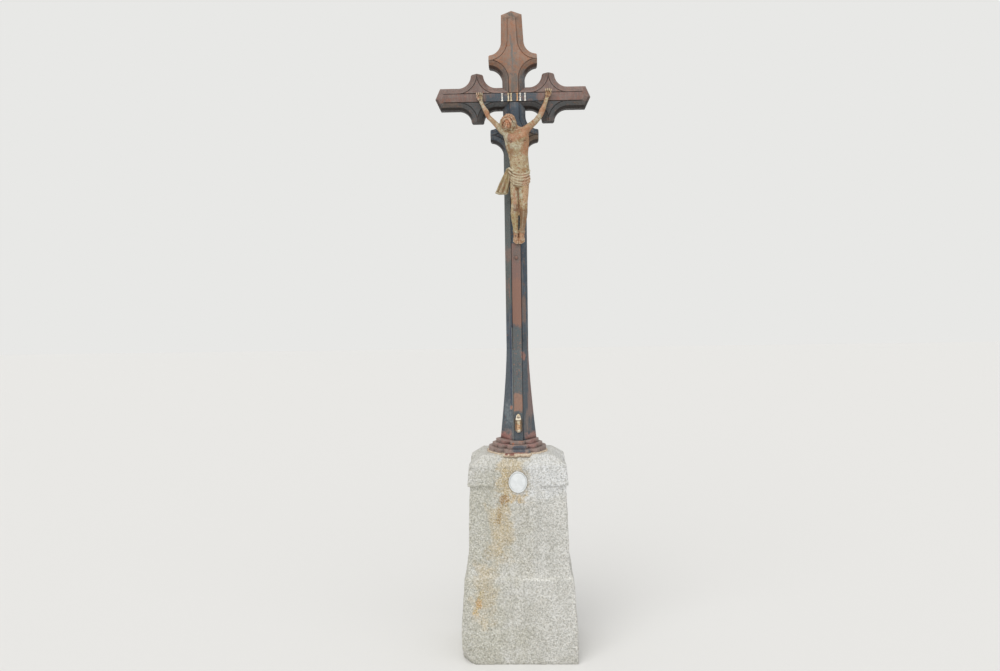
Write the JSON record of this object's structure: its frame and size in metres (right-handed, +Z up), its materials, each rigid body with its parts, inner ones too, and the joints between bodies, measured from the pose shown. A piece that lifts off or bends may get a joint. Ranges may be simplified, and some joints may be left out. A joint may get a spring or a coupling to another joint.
{
  "type": "wayside cross on a granite plinth",
  "caption": "Cast-iron wayside cross with crosslet arms and a cast figure, standing on a stepped foot on a tapered granite plinth with an oval medallion.",
  "frame": {"origin": "middle of the plinth's underside, on the ground", "axes": "+Z up, the front with the figure faces -Y, +X to the right of someone who looks at the front"},
  "size_m": [0.532, 0.265, 2.2684],
  "materials": {
    "granite": "bush-hammered, weathered",
    "mortar": "rough",
    "enamel": "gloss",
    "rusty_iron": "rusted, old paint",
    "painted_iron": "worn blue-grey paint",
    "figure_paint": "flaking cream paint over rust"
  },
  "bodies": {
    "root": {"plinth_block": "granite", "mortar_bed": "mortar", "medallion": "enamel", "foot_plate": "rusty_iron", "foot_step_lower": "rusty_iron", "foot_step_upper": "rusty_iron", "shaft_foot": "painted_iron", "cross_shaft": "painted_iron", "cross_bar": "rusty_iron", "cross_head": "rusty_iron", "title_pegs": "figure_paint", "shaft_bolt": "rusty_iron", "foot_statue": "figure_paint", "hand_nail_left": "rusty_iron", "hand_nail_right": "rusty_iron", "foot_nail_left": "rusty_iron", "foot_nail_right": "rusty_iron", "figure_torso": "figure_paint", "figure_head": "figure_paint", "figure_arm_left": "figure_paint", "figure_arm_right": "figure_paint", "loincloth": "figure_paint", "loincloth_tail": "figure_paint", "figure_leg_left": "figure_paint", "figure_leg_right": "figure_paint"}
  },
  "joints": []
}
